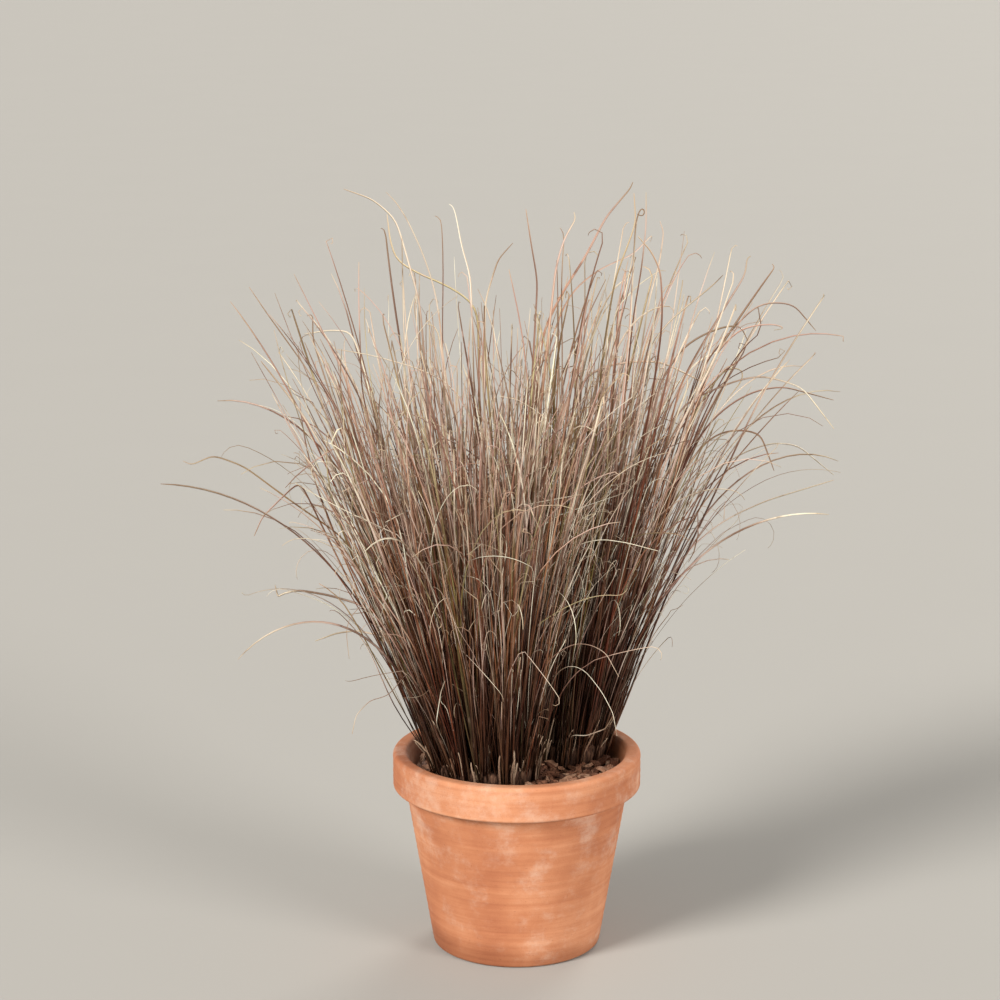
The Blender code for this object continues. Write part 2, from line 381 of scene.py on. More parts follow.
outline = softened((
    (0, POT_FLOOR, 0),
    (pot_inside(POT_FLOOR), POT_FLOOR, CORNER_ROUND),
    (pot_inside(POT_HEIGHT), POT_HEIGHT, LIP_ROUND),
    (RIM_RADIUS, POT_HEIGHT, LIP_ROUND),
    (RIM_RADIUS, BAND_FOOT, BAND_ROUND),
    (pot_inside(BAND_FOOT) + WALL, BAND_FOOT, CORNER_ROUND),
    (FOOT_RADIUS, 0, LIP_ROUND),
    (0, 0, 0),
))
print("pot outline:", len(outline), "points, rim", RIM_RADIUS, "m out")

# %% [markdown]
# Now the outline is turned. Its ends lie on the axis, where fans of triangles close the pot inside and
# under its foot. The rings are a sine of the height that fades out where the wall isn't upright.

# %% Turn the pot
POT_TURNS = 144
RING_HEIGHT = 0.00022
RINGS_PER_METRE = 105.0
RING_DRIFT = 90.0
RING_FADE = 900.0
WALL_WAVER = 0.0013
# For each wave of the wall, how often it goes round, where it starts, and its share of the waver.
WALL_WAVES = ((2, 0.7, 1.0), (3, 2.0, 0.5))


def round_points(outline, swell):
    """Points of a turned surface, row by row: x = (r + swell) cos a, y = (r + swell) sin a, and z.

    r and z are the outline's, whose two ends lie on the axis, and swell has a number for each angle of
    each row between them. The two ends come last.
    """
    angle = np.linspace(0, 2 * math.pi, swell.shape[1], endpoint=False)
    level = (outline[1:-1, :1] + swell)[..., None] * headings(angle)
    grid = np.dstack([level, outline[1:-1, 1:] + 0 * angle])
    return np.concatenate([grid.reshape(-1, 3), [(0, 0, outline[0, 1]), (0, 0, outline[-1, 1])]])


def round_faces(rows, turns):
    """Faces from row to row of a turned surface, and fans of triangles that close its two ends."""
    here = np.arange(turns)
    beside = (here + 1) % turns
    row = np.arange(rows - 1)[:, None] * turns
    quads = np.stack([row + here, row + turns + here, row + turns + beside, row + beside], axis=-1)
    last = (rows - 1) * turns
    end = np.full(turns, rows * turns)
    fans = [np.stack([end, here, beside], axis=1), np.stack([end + 1, last + beside, last + here], axis=1)]
    return quads.reshape(-1, 4), np.concatenate(fans)


wall_angle = np.linspace(0, 2 * math.pi, POT_TURNS, endpoint=False)
wall_radius, wall_height = outline[1:-1, :1], outline[1:-1, 1:]
upright = np.clip(np.abs(np.gradient(outline[:, 1]))[1:-1, None] * RING_FADE, 0, 1)
ring_turn = 2 * math.pi * RINGS_PER_METRE * wall_height + np.sin(RING_DRIFT * wall_height)
waver = WALL_WAVER * sum(part * np.sin(count * wall_angle + start) for count, start, part in WALL_WAVES)
pot_points = round_points(outline, RING_HEIGHT * np.sin(ring_turn) * upright + wall_radius * waver)
pot = new_piece("clay_pot", pot_points, *round_faces(len(outline) - 2, POT_TURNS))
print("pot turned in", POT_TURNS, "steps")

# %% [markdown]
# Water has to leave the pot, so its floor has three round holes. They are cut with a Boolean, which is
# what it is for: a plain hole through one piece by another shape that is thrown away afterwards.

# %% Drain holes
DRAIN_RADIUS = 0.007
DRAIN_CIRCLE = 0.050
DRAIN_ANGLES = (90, 210, 330)
DRILL_SIDES = 40
POT_SHARP = math.radians(40)

for drain_place in DRAIN_CIRCLE * headings(np.radians(DRAIN_ANGLES)):
    bpy.ops.mesh.primitive_cylinder_add(
        vertices=DRILL_SIDES, radius=DRAIN_RADIUS, depth=4 * POT_FLOOR, location=(*drain_place, 0)
    )
    drill = bpy.context.active_object
    boolean = pot.modifiers.new("drain", "BOOLEAN")
    boolean.operation = "DIFFERENCE"
    boolean.solver = "EXACT"
    boolean.object = drill
    bpy.context.view_layer.update()
    pot.data = bpy.data.meshes.new_from_object(pot.evaluated_get(bpy.context.evaluated_depsgraph_get()))
    pot.modifiers.clear()
    bpy.data.objects.remove(drill)
pot.data.shade_smooth()
pot.data.set_sharp_from_angle(angle=POT_SHARP)
print("pot has", len(pot.data.polygons), "faces after its holes")

# %% [markdown]
# Fired clay is never one colour. It has warm and pale clouds from the kiln, fine pits, a chalky bloom
# where water carries salts out through the wall, and a darker damp foot. Each is a mask made from noise
# or height, and they are laid over the clay one after another, as they form on the real pot.

# %% Terracotta
CLAY = (0.400, 0.155, 0.075)
CLAY_PALE = (0.500, 0.225, 0.120)
CLAY_DEEP = (0.310, 0.105, 0.050)
BLOOM = (0.66, 0.56, 0.47)
DAMP = (0.62, 0.55, 0.50)
PITTED = (0.70, 0.62, 0.58)
MOST_BLOOM = 0.28
MOST_DAMP = 0.8

clay = Finish("terracotta", {"Specular IOR Level": 0.25})
place = clay.place()
height = clay.part_of(place, 2)
clouds = clay.noise(place, 9.0, 5.0)
drawn = clay.noise(place, (6.0, 6.0, 160.0), 4.0)
pits = clay.noise(place, 700.0, 2.0, 0.6)
salt_clouds = clay.noise(place, 26.0, 8.0, 0.68)
salts = clay.rise(salt_clouds + clay.rise(height, 0.02, 0.19) * 0.06, 0.50, 0.78)
damp = 1 - clay.rise(height + clay.noise(place, 14.0, 4.0) * 0.05, 0.030, 0.062)
colour = clay.ramp(clouds * 0.7 + drawn * 0.3, ((0.36, CLAY_DEEP), (0.50, CLAY), (0.64, CLAY_PALE)))
colour = clay.blend(salts * MOST_BLOOM, colour, BLOOM)
colour = clay.tint(damp * MOST_DAMP, colour, DAMP)
colour = clay.tint(clay.rise(pits, 0.62, 0.75), colour, PITTED)
clay.feed("Base Color", colour)
clay.feed("Roughness", 0.92 - damp * 0.25 - clouds * 0.12)
clay.bump(drawn * 0.6 + pits * 0.25 + salt_clouds * 0.3, 0.0006)
settle(pot, clay, ["pot"])

# %% [markdown]
# The soil hardly shows between the bark chips and through the drain holes. The solid's own shape is
# right for it, so the node stays and only gets a crumbly dark finish.

# %% Soil
SOIL_DARK = (0.016, 0.010, 0.007)
SOIL_LIGHT = (0.085, 0.052, 0.034)

soil = Finish("potting_soil", {"Roughness": 0.95, "Specular IOR Level": 0.2})
crumbs = soil.noise(soil.place(), 260.0, 5.0, 0.7)
soil.feed("Base Color", soil.blend(soil.rise(crumbs, 0.40, 0.70), SOIL_DARK, SOIL_LIGHT))
soil.bump(crumbs + soil.noise(soil.place(), 60.0), 0.004)
soil_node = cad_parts["soil"]
soil_node.data.materials.clear()
soil_node.data.materials.append(soil.material)

# %% [markdown]
# Everything on the plant points away from one spot deep below each crown, as a sheaf does that is tied
# there. Those two spots and the crowns' places are the solids' own numbers, so leaves drawn here stand
# where the leaf bundles of the solid model stand.

# %% Where the leaves come from
SOIL_TOP = 0.203
SPREAD_DEPTH = 0.255
CROWN_HEIGHT = 0.040
GAP = 0.0003
ROOT_LEVEL = SOIL_TOP + 4 * GAP
CROWNS = {
    "front": {
        "centre": (-0.035, -0.030), "radius": 0.062, "spread": (-0.020, -0.015), "bundles": 28,
        "shoots": 170, "fan": 1.0, "right_share": 0.55, "outward_bend": 0.12, "vigour": 1.00,
    },
    "back": {
        "centre": (0.062, 0.040), "radius": 0.042, "spread": (0.020, 0.015), "bundles": 13,
        "shoots": 100, "fan": 0.95, "right_share": 0.75, "outward_bend": 0.36, "vigour": 1.03,
    },
}


def fan_tilt(spread, places):
    """Tilt from upright, as an angle towards +X and one towards +Y, of leaves through places on the soil.

    The way from the crown's spread point is so far sideways for the depth, and its angle is the arctangent.
    """
    side = (places - np.array(spread)) / SPREAD_DEPTH
    return unit(side) * np.arctan(lengths(side))


for crown_name, crown in CROWNS.items():
    edge = np.array(crown["centre"]) - (crown["radius"], 0)
    tilt = np.degrees(fan_tilt(crown["spread"], edge))
    print(crown_name, "crown's left edge leans", tilt.round(1), "degrees")

# %% [markdown]
# A crown is the dense heart of the plant: hundreds of leaf bases pressed together, with the dark fibres
# of older ones between them. It could be sculpted, but the leaves hide most of it, so one low dome is
# enough. It is turned like the pot, and its swell is a sum of sines that makes upright ridges.

# %% Crown mounds
MOUND_TURNS = 120
MOUND_RINGS = 26
MOUND_RADIUS = 0.90
MOUND_HEIGHT = 0.033
MOUND_BRIM = 1.35
MOUND_SWELL = 0.8
MOUND_SHOULDER = 0.45
MOUND_FALL = 1.6
MOUND_RIDGE = 0.0030
RIDGE_SOON = 1.6
RIDGE_COUNTS = (31, 47, 74)
FIBRE_STOPS = ((0.34, (0.012, 0.006, 0.004)), (0.52, (0.050, 0.022, 0.013)), (0.72, (0.150, 0.080, 0.048)))


def crown_mound(name, crown, rng):
    """A ridged dome on the soil that widens upwards as the leaves spread.

    With t from 0 at the middle of the top to 1 at the foot, the radius grows as a sine of t, and the
    height falls as a power of t past the shoulder.
    """
    t = np.linspace(0, 1, MOUND_RINGS)
    round_out = np.sin(np.minimum(t * MOUND_BRIM, 1) * math.pi / 2) ** MOUND_SWELL
    fall = np.clip((t - MOUND_SHOULDER) / (1 - MOUND_SHOULDER), 0, 1) ** MOUND_FALL
    sides = np.stack([crown["radius"] * MOUND_RADIUS * round_out, MOUND_HEIGHT * (1 - fall)], axis=1)
    outline = np.append(sides, [(0, 0)], axis=0)
    angle = np.linspace(0, 2 * math.pi, MOUND_TURNS, endpoint=False)
    ridges = sum(np.sin(count * angle + rng.uniform(0, 2 * math.pi)) for count in RIDGE_COUNTS)
    swell = MOUND_RIDGE * ridges / len(RIDGE_COUNTS) * np.minimum(t[1:, None] * RIDGE_SOON, 1)
    points = round_points(outline, swell)
    spread = np.array(crown["spread"])
    flare = 1 + points[:, 2:] / SPREAD_DEPTH
    points[:, :2] = spread + (crown["centre"] - spread + points[:, :2]) * flare
    points[:, 2] += SOIL_TOP + GAP
    return new_piece(name, points, *round_faces(MOUND_RINGS - 1, MOUND_TURNS))


fibre = Finish("crown_fibre", {"Roughness": 0.9, "Specular IOR Level": 0.2})
fibre_grain = fibre.noise(fibre.place(), (420.0, 420.0, 30.0), 4.0)
fibre.feed("Base Color", fibre.ramp(fibre_grain, FIBRE_STOPS))
fibre.bump(fibre_grain, 0.0015)
for crown_name, crown in CROWNS.items():
    mound = crown_mound(f"{crown_name}_crown_mound", crown, np.random.default_rng(3))
    settle(mound, fibre, [f"{crown_name}_crown"])

# %% [markdown]
# A sedge leaf is a long narrow strip, folded along its middle, nearly straight for most of its length,
# with a tip that often dries and curls. Curves with a bevel or a hair system could make it, but hair
# isn't a mesh and thousands of curve objects are slow. Here all leaves are worked out at once: the tilt
# from upright changes along the leaf, and the running sum of short steps along that tilt is its line.

# %% Lines of many leaves
CURL_GROWTH = 1.25
KINK_RUN = 0.02
SWAYS = (0.7, 2.4)


def shares_along(count, crowding):
    """Shares of a leaf's length, 1 - (1 - t) to the power of crowding for even t: closer near the tip."""
    return 1 - (1 - np.linspace(0, 1, count + 1)) ** crowding


def ways(tilt):
    """Directions of length 1 whose angle from upright is a tilt's size, to the side it points to."""
    angle = lengths(tilt)
    return np.concatenate([tilt * np.sinc(angle / math.pi), np.cos(angle)], axis=-1)


def leaf_lines(shares, grown, rng):
    """Points along many leaves, as an array of leaf, station and xyz.

    The tilt is a pair of angles, towards +X and towards +Y. Along the leaf it is the lean at its foot,
    plus bend times the share to the power of late, plus curl times how far the share is past
    curl_start, plus kink where the share is past kink_at, plus a slow sway. Each step goes that way.
    """
    middle = (shares[1:] + shares[:-1]) / 2
    count = len(grown["feet"])
    start = grown["curl_start"][:, None]
    sway = 2 * math.pi * (rng.uniform(*SWAYS, (count, 1)) * middle + rng.random((count, 1)))
    parts = {
        "bend": middle ** grown["late"][:, None],
        "curl": np.clip((middle - start) / (1 - start), 0, 1) ** CURL_GROWTH,
        "kink": np.clip((middle - grown["kink_at"][:, None]) / KINK_RUN, 0, 1),
        "sway": np.sin(sway),
    }
    turned = [grown[name][:, None] * part[..., None] for name, part in parts.items()]
    way = ways(grown["lean"][:, None] + sum(turned))
    steps = way * grown["length"][:, None, None] * np.diff(shares)[:, None]
    return grown["feet"][:, None] + np.insert(np.cumsum(steps, axis=1), 0, 0, axis=1)


def keep_inside(lines, margin):
    """Shortens each leaf towards its foot until it stays in the solid model's box, less a margin."""
    foot = lines[:, :1]
    reach = lines - foot
    high = np.array(cad_high) - margin - foot
    low = np.array(cad_low) + margin - foot
    over = np.where(reach > 0, reach / high, reach / low).max(axis=(1, 2))
    return foot + reach / np.maximum(over, 1)[:, None, None]


print("steps get shorter towards the tip:", np.diff(shares_along(8, 1.8)).round(3))

# %% [markdown]
# Each leaf's line becomes a strip with a folded section: three points across, the middle one lower, so
# light catches one half and shades the other. Two UV maps go with it. The first holds a number of the
# leaf's own and the share of its length, which the finish reads. The second gives every leaf its own
# strip of a picture, so the finish can be stored without overlaps.

# %% Strips along the lines
FOLD = 0.30
NARROWING = 0.30
RUN_OUT = 14
STRIP_TALL = 13.0
STRIP_MARGIN = np.array((0.08, 0.05))
CAP_SIDE = np.array((0.1, 0.5, 0.9, 0.1, 0.5, 0.9))
CAP_ALONG = np.array((-0.04, -0.02, -0.04, 1.04, 1.02, 1.04))


def carried_sides(way, start):
    """A direction across each leaf, carried from station to station with as little turning as can be."""
    side = [start]
    for j in range(way.shape[1]):
        last = side[-1]
        side.append(unit(last - (last * way[:, j]).sum(-1, keepdims=True) * way[:, j]))
    return np.stack(side[1:], axis=1)


def leaf_maps(obj, shares, tone):
    """Two UV maps: "leaf" has each leaf's tone and the share along it, and "OFBake" a cell for each leaf.

    In its cell the leaf's three sides lie side by side, and its two end faces beyond their ends.
    """
    count = len(tone)
    columns = math.ceil(math.sqrt(count * STRIP_TALL))
    grid = np.array([columns, math.ceil(count / columns)])
    cell = np.stack([np.arange(count) % columns, np.arange(count) // columns], axis=1)
    steps = np.stack([shares[:-1], shares[:-1], shares[1:], shares[1:]], axis=1)[:, None]
    sides = (np.arange(3)[:, None] + (0, 1, 1, 0)) / 3
    sides, steps = (part.ravel() for part in np.broadcast_arrays(sides, steps))
    leaf, strip = [], []
    for side, along in ((sides, steps), (CAP_SIDE, CAP_ALONG)):
        share = np.tile(np.clip(along, 0, 1), count)
        leaf.append(np.stack([np.repeat(tone, len(side)), share], axis=1))
        spot = STRIP_MARGIN + (1 - 2 * STRIP_MARGIN) * np.stack([side, along], axis=1)
        strip.append(((cell[:, None] + spot) / grid).reshape(-1, 2))
    add_map(obj, "leaf", np.concatenate(leaf))
    add_map(obj, "OFBake", np.concatenate(strip))


def leaf_strips(name, lines, shares, base, tip, tone, twist, rng):
    """A mesh of folded strips: at each station left edge, fold and right edge, all joined by faces.

    Across is a carried direction turned by twist times the share, and up is square to it and the leaf.
    The width narrows evenly by a share of the base, and runs out in a round tip.
    """
    count, stations = lines.shape[:2]
    width = tip + (base[:, None] - tip) * (1 - NARROWING * shares) * np.sqrt(1 - shares ** RUN_OUT)
    step = unit(np.diff(lines, axis=1))
    way = unit(np.concatenate([step[:, :1], step[:, 1:] + step[:, :-1], step[:, -1:]], axis=1))
    side = carried_sides(way, rng.normal(size=(count, 3)))
    turn = (rng.normal(0, twist, (count, 1)) * shares)[..., None]
    across = (np.cos(turn) * side + np.sin(turn) * np.cross(way, side)) * width[..., None] / 2
    up = np.cross(way, across) * 2 * FOLD
    points = lines[:, :, None] + np.stack([up - across, -up, up + across], axis=2)
    corner = np.arange(count * stations * 3).reshape(count, stations, 3)
    beside = np.roll(corner, -1, axis=-1)
    quads = np.stack([corner[:, :-1], beside[:, :-1], beside[:, 1:], corner[:, 1:]], axis=-1)
    caps = np.stack([corner[:, 0, ::-1], corner[:, -1]], axis=1)
    obj = new_piece(name, points.reshape(-1, 3), quads.reshape(-1, 4), caps.reshape(-1, 3))
    leaf_maps(obj, shares, tone)
    return obj


print("a strip's fold is", 2 * FOLD, "of its width deep")

# %% [markdown]
# The leaves' colour is what makes this sedge: dark mahogany at the crown, bronze and fox red above it,
# then a dusty mauve tan, and straw at the dry tips. Some leaves are olive, some quite bleached. So the
# finish reads the leaf's own number to choose a family, reads the share of its length to run through that
# family's colours, and adds dry flecks and fine long veins. Low on every leaf the near black is partly
# the leaf's own mahogany and partly painted shade, the shade that falls in the tuft's dense foot.

# %% Leaf finish
MAUVE_TAN = (0.570, 0.440, 0.375)
CREAM = (0.740, 0.700, 0.550)
STRAW = (0.600, 0.510, 0.350)
# In every family the stops low on the leaf are partly its own dark colour and partly painted shade of the
# tuft's foot.
BRONZE_LEAF = (
    (0.00, (0.056, 0.022, 0.008)), (0.25, (0.070, 0.021, 0.006)), (0.54, (0.300, 0.138, 0.062)),
    (0.78, (0.480, 0.318, 0.226)), (0.95, MAUVE_TAN), (1.00, STRAW),
)
FOX_RED_LEAF = (
    (0.00, (0.058, 0.019, 0.007)), (0.32, (0.115, 0.026, 0.009)), (0.60, (0.238, 0.079, 0.038)),
    (0.90, (0.400, 0.275, 0.210)), (1.00, STRAW),
)
OLIVE_LEAF = (
    (0.00, (0.046, 0.030, 0.012)), (0.28, (0.076, 0.052, 0.020)), (0.55, (0.250, 0.195, 0.058)),
    (0.85, (0.480, 0.420, 0.240)), (1.00, STRAW),
)
MAUVE_LEAF = (
    (0.00, (0.060, 0.026, 0.011)), (0.40, (0.096, 0.036, 0.017)), (0.64, MAUVE_TAN), (0.92, CREAM),
    (1.00, STRAW),
)
BLEACHED_LEAF = (
    (0.00, (0.074, 0.038, 0.018)), (0.42, (0.125, 0.064, 0.033)), (0.66, (0.740, 0.725, 0.600)),
    (1.00, CREAM),
)
FAMILY_STARTS = (0.0, 0.50, 0.64, 0.76, 0.90, 1.0)
FAMILY_EDGE = 0.002
SHADY = (0.36, 0.28, 0.23)
BROWN_FLECK = (0.50, 0.42, 0.38)
PINK_VEIN = (0.72, 0.55, 0.53)
PALE_FLECKS = 0.60
DARK_FLECKS = 0.8

leaf = Finish("sedge_leaf", {"Specular IOR Level": 0.28})
leaf_map = leaf.uv("leaf")
own = leaf.part_of(leaf_map, 0)
share = leaf.part_of(leaf_map, 1)
colour = leaf.ramp(share, BRONZE_LEAF)
for start, stops in zip(FAMILY_STARTS[1:], (FOX_RED_LEAF, OLIVE_LEAF, MAUVE_LEAF, BLEACHED_LEAF)):
    in_family = leaf.rise(own, start - FAMILY_EDGE, start + FAMILY_EDGE)
    colour = leaf.blend(in_family, colour, leaf.ramp(share, stops))
light_or_dark = leaf.noise(leaf_map, (7000.0, 3.0, 1.0), 1.0)
flecks = leaf.noise(leaf_map, (900.0, 26.0, 1.0))
veins = leaf.noise(leaf.uv("OFBake"), (150.0, 5.0, 1.0), 2.0)
colour = leaf.tint(leaf.rise(light_or_dark, 0.58, 0.38), colour, SHADY)
colour = leaf.blend(leaf.rise(flecks, 0.60, 0.72) * share * PALE_FLECKS, colour, MAUVE_TAN)
colour = leaf.tint(leaf.rise(flecks, 0.44, 0.28) * DARK_FLECKS, colour, BROWN_FLECK)
colour = leaf.tint(leaf.rise(veins, 0.58, 0.40), colour, PINK_VEIN)
leaf.feed("Base Color", colour)
leaf.feed("Roughness", 0.42 + flecks * 0.22)
leaf.bump(veins, 0.0002)
print("leaf finish has", len(leaf.tree.nodes), "nodes")

# %% [markdown]
# Leaves don't stand evenly in a crown. They come up in shoots, each with a handful of leaves that share
# its place, its lean and much of its colour, and that is why the foot of the tuft shows upright streaks
# with dark gaps. So shoots are set out first, like seeds in a sunflower head.

# %% Shoots of the crowns
GOLDEN_ANGLE = math.pi * (3 - math.sqrt(5))
LEAFY_SHARE = 0.95
SHOOT_OUT = 0.0018
SHOOT_TURN = 0.10
SHOOT_LEAN = 1.7


def add_shoots(crown, rng):
    """Sets a crown's shoots out at radius by the root of their number, a golden angle apart.

    Each gets a lean near the fan's, and a number from 0 to 1 of its own.
    """
    count = crown["shoots"]
    number = np.arange(count) + 0.5
    out = LEAFY_SHARE * crown["radius"] * np.sqrt(number / count) + rng.normal(0, SHOOT_OUT, count)
    turn = number * GOLDEN_ANGLE + rng.normal(0, SHOOT_TURN, count)
    crown["feet"] = crown["centre"] + out[:, None] * headings(turn)
    fan = crown["fan"] * fan_tilt(crown["spread"], crown["feet"])
    crown["lean"] = fan + np.radians(rng.normal(0, SHOOT_LEAN, (count, 2)))
    crown["own"] = rng.random(count)


for crown in CROWNS.values():
    add_shoots(crown, np.random.default_rng(20))
print("shoots:", [len(crown["feet"]) for crown in CROWNS.values()])

# %% [markdown]
# All kinds of leaves grow by the same few habits, and a kind is a table of how strong each habit is. In
# it a pair is a range, but "leaves" counts those of the front and the back crown, and "steps" says how
# many steps a leaf has and how crowded they are at its tip. Most leaves keep straight, about a third curl
# at the tip, and a few tall ones stand above the rest. They take the place of the solids' leaf bundles.

# %% Leaves of a kind
SWAY = math.radians(2.8)
LIKE_SHOOT = 0.55
BESIDE_SHOOT = 0.0015
LEAN_SPREAD = 3.2
LEAN_MOST = 5
OVER_BEND = (25, 105)
OVER_LATE = (3.0, 6.5)
HELD_BACK_BEND = 1.4
KINKS = (25, 110)
LONGER_OUTSIDE = 0.15
SHORTEST_SHARE = 0.35
LONGEST = 0.66
TIP_MARGIN = 0.002
LIVING = {
    "length": 0.40, "spread": 0.078, "width": (0.0011, 0.0023), "tip": 0.0006, "twist": 1.6,
    "out": (0, 1), "leaning": 1.0, "bend": (0, 22), "late": (1.2, 3.0), "astray": 3.0, "goes_over": 0.19,
    "curl": (0, 26), "curl_part": (0.1, 0.5), "kinked": 0.06, "kink_at": (0.80, 0.97),
    "families": (44, 15, 13, 19, 9), "slot": "leaves",
}
CURLED = {**LIVING, "curl": (50, 330), "curl_part": (0.012, 0.050)}
LIVING_KINDS = {
    "straight_leaves": {**LIVING, "leaves": (690, 240), "steps": (14, 1.3), "seed": 21},
    "curled_leaves": {**CURLED, "leaves": (300, 120), "steps": (18, 2.4), "seed": 22},
    "tall_leaves": {
        **CURLED, "leaves": (44, 34), "length": 0.52, "spread": 0.055, "goes_over": 0.12,
        "width": (0.0022, 0.0034), "families": (3, 2, 2, 8, 3), "steps": (26, 1.6), "seed": 25,
    },
}
LEAF_BUNDLES = [
    f"{name}_leaf_bundle_{i + 1:02d}" for name, crown in CROWNS.items() for i in range(crown["bundles"])
]


def leaf_numbers(own, weights):
    """Numbers from 0 to 1 moved into the families' ranges, so that each gets its weight's share of them."""
    return np.interp(own, np.cumsum((0, *weights)) / sum(weights), FAMILY_STARTS)


def any_way(degrees, rng):
    """Angles in degrees, each as a tilt towards a random side."""
    return np.radians(degrees)[:, None] * headings(rng.uniform(0, 2 * math.pi, len(degrees)))


def grow(crown, kind, count, rng):
    """Arrays of feet, lean, bend, curl and so on for a crown's leaves of one kind.

    Leaves that lean to the right start at only a part of the lean and bend out for the rest of it.
    Some leaves bend only near their ends, and then by a lot, so they go over sideways in an arch.
    """
    shoot = (rng.uniform(*kind["out"], count) * crown["shoots"]).astype(int)
    lean = crown["lean"][shoot] * kind["leaning"]
    held_back = np.maximum(lean, 0) * (1 - crown["right_share"]) * (1, 0)
    goes_over = rng.random(count) < kind["goes_over"]
    degrees = np.where(goes_over, rng.uniform(*OVER_BEND, count), rng.uniform(*kind["bend"], count))
    toward = unit(unit(lean) + rng.normal(0, kind["astray"], (count, 2)))
    bend = lean * crown["outward_bend"] + HELD_BACK_BEND * held_back + np.radians(degrees)[:, None] * toward
    place = crown["feet"][shoot] + rng.normal(0, BESIDE_SHOOT, (count, 2))
    usual = kind["length"] * crown["vigour"] * (1 + LONGER_OUTSIDE * shoot / crown["shoots"])
    kink = (rng.random(count) < kind["kinked"]) * rng.uniform(*KINKS, count)
    own = np.where(rng.random(count) < LIKE_SHOOT, crown["own"][shoot], rng.random(count))
    astray = np.clip(rng.normal(0, LEAN_SPREAD, (count, 2)), -LEAN_MOST, LEAN_MOST)
    return {
        "feet": np.column_stack([place, np.full(count, ROOT_LEVEL)]),
        "lean": lean - held_back + np.radians(astray),
        "bend": bend,
        "late": np.where(goes_over, rng.uniform(*OVER_LATE, count), rng.uniform(*kind["late"], count)),
        "length": np.clip(rng.normal(usual, kind["spread"]), SHORTEST_SHARE * usual, LONGEST),
        "curl": any_way(rng.uniform(*kind["curl"], count), rng),
        "curl_start": 1 - rng.uniform(*kind["curl_part"], count),
        "kink": any_way(kink, rng),
        "kink_at": rng.uniform(*kind["kink_at"], count),
        "sway": rng.normal(0, SWAY, (count, 2)),
        "own": leaf_numbers(own, kind["families"]),
    }


def grow_leaves(name, kind, finish):
    """Makes one piece of all leaves of a kind, from both crowns, and settles it."""
    rng = np.random.default_rng(kind["seed"])
    crops = [grow(crown, kind, count, rng) for crown, count in zip(CROWNS.values(), kind["leaves"])]
    grown = {key: np.concatenate([crop[key] for crop in crops]) for key in crops[0]}
    shares = shares_along(*kind["steps"])
    lines = keep_inside(leaf_lines(shares, grown, rng), TIP_MARGIN)
    base = rng.uniform(*kind["width"], len(lines))
    piece = leaf_strips(name, lines, shares, base, kind["tip"], grown["own"], kind["twist"], rng)
    settle(piece, finish, LEAF_BUNDLES if kind["slot"] == "leaves" else [])


for kind_name, kind in LIVING_KINDS.items():
    grow_leaves(kind_name, kind, leaf)

# %% [markdown]
# Every such plant carries its history: leaves that died last year, bleached and bent over, others that
# dried into pale squiggles, and fine threads that lie across the rest. They grow by the living leaves'
# habits, with a strong bend, or with a curl of up to a full turn at the tip.

# %% Dead leaves
DEAD = {**LIVING, "tip": 0.0004, "twist": 2.5, "astray": 0.5, "goes_over": 0, "slot": "dry_leaves"}
DEAD_KINDS = {
    "bleached_leaves": {
        **DEAD, "leaves": (19, 11), "length": 0.34, "spread": 0.060, "width": (0.0012, 0.0019),
        "out": (0.2, 1.0), "bend": (25, 110), "late": (2.0, 4.5), "curl": (0, 120), "curl_part": (0.04, 0.12),
        "kinked": 0.2, "kink_at": (0.5, 0.95), "families": (1, 2, 2, 8, 5), "steps": (30, 1.5), "seed": 41,
    },
    "squiggle_leaves": {
        **DEAD, "leaves": (150, 90), "length": 0.29, "spread": 0.080, "width": (0.0008, 0.0014),
        "out": (0.7, 1.0), "leaning": 1.15, "curl": (60, 360), "curl_part": (0.03, 0.16), "kinked": 0.5,
        "kink_at": (0.84, 0.97), "families": (0, 1, 0, 4, 10), "steps": (19, 1.9), "seed": 42,
    },
    "crossing_leaves": {
        **DEAD, "leaves": (210, 120), "length": 0.32, "spread": 0.110, "width": (0.0006, 0.0011),
        "out": (0.5, 1.0), "leaning": 0.9, "bend": (12, 75), "late": (1.3, 3.5), "astray": 1.3,
        "curl": (0, 200), "curl_part": (0.05, 0.30), "kinked": 0.25, "kink_at": (0.60, 0.92),
        "families": (0, 1, 0, 5, 9), "steps": (26, 1.4), "seed": 43,
    },
}
for kind_name, kind in DEAD_KINDS.items():
    grow_leaves(kind_name, kind, leaf)

# %% [markdown]
# Round the foot of each crown stand the sheaths of older leaves, short, papery and dark. They could be
# thin tubes, but they have split into strips, so they are leaves with hardly any length. Some are older
# and paler than others, all get paler towards the torn top, and upright veins rib them.

# %% Old sheaths
SHEATHS = {
    **DEAD, "leaves": (200, 110), "length": 0.043, "spread": 0.013, "width": (0.0022, 0.0040), "tip": 0.0010,
    "twist": 0.8, "out": (0.3, 1.0), "kinked": 0, "families": (1, 1, 1, 1, 1), "slot": "leaf_bases",
    "steps": (9, 1.2), "seed": 61,
}
SHEATH_STOPS = ((0.10, (0.045, 0.020, 0.012)), (0.50, (0.160, 0.075, 0.042)), (0.95, (0.360, 0.255, 0.180)))
SHEATH_VEIN = (0.55, 0.50, 0.46)

sheath = Finish("old_sheath", {"Specular IOR Level": 0.3})
sheath_map = sheath.uv("leaf")
veins = sheath.noise(sheath.place(), (1300.0, 1300.0, 30.0))
age = sheath.part_of(sheath_map, 0) * 0.75 + sheath.part_of(sheath_map, 1) * 0.30
colour = sheath.ramp(age + veins * 0.2 - 0.1, SHEATH_STOPS)
sheath.feed("Base Color", sheath.tint(sheath.rise(veins, 0.52, 0.34), colour, SHEATH_VEIN))
sheath.feed("Roughness", 0.6 + veins * 0.25)
sheath.bump(veins, 0.0006)
grow_leaves("old_sheaths", SHEATHS, sheath)

